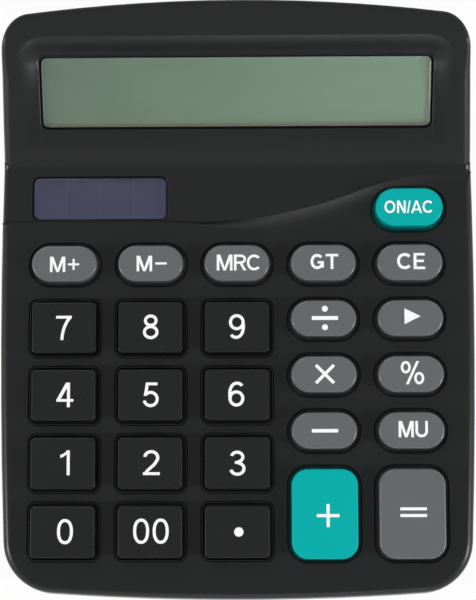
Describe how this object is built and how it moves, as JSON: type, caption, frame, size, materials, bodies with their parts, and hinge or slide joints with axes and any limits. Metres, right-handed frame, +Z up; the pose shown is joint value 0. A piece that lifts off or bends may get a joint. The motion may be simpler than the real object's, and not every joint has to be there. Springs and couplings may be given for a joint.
{
  "type": "desktop calculator",
  "caption": "Wedge-shaped desktop calculator with a raised sunk display, a solar cell, press keys on a rubber keypad and a sliding battery door.",
  "frame": {"origin": "centre of the bounding box's base, on the table under the feet", "axes": "+X to the user's right, +Y away from the user towards the display, +Z up"},
  "size_m": [0.119, 0.144, 0.0453],
  "materials": {
    "case_plastic": "fine texture",
    "case_lower_plastic": "fine texture",
    "key_black": "satin",
    "key_grey": "satin",
    "key_teal": "satin",
    "window_clear": "clear",
    "solar_tint": "clear",
    "display": "satin",
    "solar_cells": "glossy",
    "foam": "matte",
    "metal": "satin",
    "board": "satin",
    "silicone": "matte",
    "inner_plastic": "satin",
    "resin": "satin",
    "foot_rubber": "matte",
    "cell_wrap": "satin",
    "wire_cover": "satin",
    "ribbon_film": "satin"
  },
  "bodies": {
    "case": {"battery_cell": "cell_wrap", "battery_contact_negative": "metal", "battery_contact_positive": "metal", "battery_wires": "wire_cover", "bottom_case": "case_lower_plastic", "capacitor": "metal", "case_screws": "metal", "chip_cover": "resin", "display_window": "window_clear", "keypad_membrane": "silicone", "lcd_holder": "inner_plastic", "lcd_panel": "display", "lcd_ribbon": "ribbon_film", "main_board": "board", "rubber_feet": "foot_rubber", "solar_cell": "solar_cells", "solar_leads": "metal", "solar_pad": "foam", "solar_window": "solar_tint", "top_case": "case_plastic"},
    "battery_door": {"battery_door": "case_lower_plastic"},
    "key_0": {"key_0": "key_black"},
    "key_00": {"key_00": "key_black"},
    "key_1": {"key_1": "key_black"},
    "key_2": {"key_2": "key_black"},
    "key_3": {"key_3": "key_black"},
    "key_4": {"key_4": "key_black"},
    "key_5": {"key_5": "key_black"},
    "key_6": {"key_6": "key_black"},
    "key_7": {"key_7": "key_black"},
    "key_8": {"key_8": "key_black"},
    "key_9": {"key_9": "key_black"},
    "key_add": {"key_add": "key_teal"},
    "key_backspace": {"key_backspace": "key_grey"},
    "key_clear_entry": {"key_clear_entry": "key_grey"},
    "key_divide": {"key_divide": "key_grey"},
    "key_equals": {"key_equals": "key_grey"},
    "key_grand_total": {"key_grand_total": "key_grey"},
    "key_mark_up": {"key_mark_up": "key_grey"},
    "key_memory_minus": {"key_memory_minus": "key_grey"},
    "key_memory_plus": {"key_memory_plus": "key_grey"},
    "key_memory_recall": {"key_memory_recall": "key_grey"},
    "key_multiply": {"key_multiply": "key_grey"},
    "key_on_clear": {"key_on_clear": "key_teal"},
    "key_percent": {"key_percent": "key_grey"},
    "key_point": {"key_point": "key_black"},
    "key_subtract": {"key_subtract": "key_grey"}
  },
  "joints": [
    {"name": "battery_door_slide", "type": "slide", "parent": "case", "child": "battery_door", "axis": [0, 1, 0], "range_m": [0, 0.026]},
    {"name": "key_0_press", "type": "slide", "parent": "case", "child": "key_0", "axis": [0, 0.0872, -0.9962], "range_m": [0, 0.0012], "stiffness_N_per_m": 650, "deforming": ["keypad_membrane"]},
    {"name": "key_00_press", "type": "slide", "parent": "case", "child": "key_00", "axis": [0, 0.0872, -0.9962], "range_m": [0, 0.0012], "stiffness_N_per_m": 650, "deforming": ["keypad_membrane"]},
    {"name": "key_1_press", "type": "slide", "parent": "case", "child": "key_1", "axis": [0, 0.0872, -0.9962], "range_m": [0, 0.0012], "stiffness_N_per_m": 650, "deforming": ["keypad_membrane"]},
    {"name": "key_2_press", "type": "slide", "parent": "case", "child": "key_2", "axis": [0, 0.0872, -0.9962], "range_m": [0, 0.0012], "stiffness_N_per_m": 650, "deforming": ["keypad_membrane"]},
    {"name": "key_3_press", "type": "slide", "parent": "case", "child": "key_3", "axis": [0, 0.0872, -0.9962], "range_m": [0, 0.0012], "stiffness_N_per_m": 650, "deforming": ["keypad_membrane"]},
    {"name": "key_4_press", "type": "slide", "parent": "case", "child": "key_4", "axis": [0, 0.0872, -0.9962], "range_m": [0, 0.0012], "stiffness_N_per_m": 650, "deforming": ["keypad_membrane"]},
    {"name": "key_5_press", "type": "slide", "parent": "case", "child": "key_5", "axis": [0, 0.0872, -0.9962], "range_m": [0, 0.0012], "stiffness_N_per_m": 650, "deforming": ["keypad_membrane"]},
    {"name": "key_6_press", "type": "slide", "parent": "case", "child": "key_6", "axis": [0, 0.0872, -0.9962], "range_m": [0, 0.0012], "stiffness_N_per_m": 650, "deforming": ["keypad_membrane"]},
    {"name": "key_7_press", "type": "slide", "parent": "case", "child": "key_7", "axis": [0, 0.0872, -0.9962], "range_m": [0, 0.0012], "stiffness_N_per_m": 650, "deforming": ["keypad_membrane"]},
    {"name": "key_8_press", "type": "slide", "parent": "case", "child": "key_8", "axis": [0, 0.0872, -0.9962], "range_m": [0, 0.0012], "stiffness_N_per_m": 650, "deforming": ["keypad_membrane"]},
    {"name": "key_9_press", "type": "slide", "parent": "case", "child": "key_9", "axis": [0, 0.0872, -0.9962], "range_m": [0, 0.0012], "stiffness_N_per_m": 650, "deforming": ["keypad_membrane"]},
    {"name": "key_add_press", "type": "slide", "parent": "case", "child": "key_add", "axis": [0, 0.0872, -0.9962], "range_m": [0, 0.0012], "stiffness_N_per_m": 650, "deforming": ["keypad_membrane"]},
    {"name": "key_backspace_press", "type": "slide", "parent": "case", "child": "key_backspace", "axis": [0, 0.0872, -0.9962], "range_m": [0, 0.0012], "stiffness_N_per_m": 650, "deforming": ["keypad_membrane"]},
    {"name": "key_clear_entry_press", "type": "slide", "parent": "case", "child": "key_clear_entry", "axis": [0, 0.0872, -0.9962], "range_m": [0, 0.0012], "stiffness_N_per_m": 650, "deforming": ["keypad_membrane"]},
    {"name": "key_divide_press", "type": "slide", "parent": "case", "child": "key_divide", "axis": [0, 0.0872, -0.9962], "range_m": [0, 0.0012], "stiffness_N_per_m": 650, "deforming": ["keypad_membrane"]},
    {"name": "key_equals_press", "type": "slide", "parent": "case", "child": "key_equals", "axis": [0, 0.0872, -0.9962], "range_m": [0, 0.0012], "stiffness_N_per_m": 650, "deforming": ["keypad_membrane"]},
    {"name": "key_grand_total_press", "type": "slide", "parent": "case", "child": "key_grand_total", "axis": [0, 0.0872, -0.9962], "range_m": [0, 0.0012], "stiffness_N_per_m": 650, "deforming": ["keypad_membrane"]},
    {"name": "key_mark_up_press", "type": "slide", "parent": "case", "child": "key_mark_up", "axis": [0, 0.0872, -0.9962], "range_m": [0, 0.0012], "stiffness_N_per_m": 650, "deforming": ["keypad_membrane"]},
    {"name": "key_memory_minus_press", "type": "slide", "parent": "case", "child": "key_memory_minus", "axis": [0, 0.0872, -0.9962], "range_m": [0, 0.0012], "stiffness_N_per_m": 650, "deforming": ["keypad_membrane"]},
    {"name": "key_memory_plus_press", "type": "slide", "parent": "case", "child": "key_memory_plus", "axis": [0, 0.0872, -0.9962], "range_m": [0, 0.0012], "stiffness_N_per_m": 650, "deforming": ["keypad_membrane"]},
    {"name": "key_memory_recall_press", "type": "slide", "parent": "case", "child": "key_memory_recall", "axis": [0, 0.0872, -0.9962], "range_m": [0, 0.0012], "stiffness_N_per_m": 650, "deforming": ["keypad_membrane"]},
    {"name": "key_multiply_press", "type": "slide", "parent": "case", "child": "key_multiply", "axis": [0, 0.0872, -0.9962], "range_m": [0, 0.0012], "stiffness_N_per_m": 650, "deforming": ["keypad_membrane"]},
    {"name": "key_on_clear_press", "type": "slide", "parent": "case", "child": "key_on_clear", "axis": [0, 0.0872, -0.9962], "range_m": [0, 0.0012], "stiffness_N_per_m": 650, "deforming": ["keypad_membrane"]},
    {"name": "key_percent_press", "type": "slide", "parent": "case", "child": "key_percent", "axis": [0, 0.0872, -0.9962], "range_m": [0, 0.0012], "stiffness_N_per_m": 650, "deforming": ["keypad_membrane"]},
    {"name": "key_point_press", "type": "slide", "parent": "case", "child": "key_point", "axis": [0, 0.0872, -0.9962], "range_m": [0, 0.0012], "stiffness_N_per_m": 650, "deforming": ["keypad_membrane"]},
    {"name": "key_subtract_press", "type": "slide", "parent": "case", "child": "key_subtract", "axis": [0, 0.0872, -0.9962], "range_m": [0, 0.0012], "stiffness_N_per_m": 650, "deforming": ["keypad_membrane"]}
  ]
}
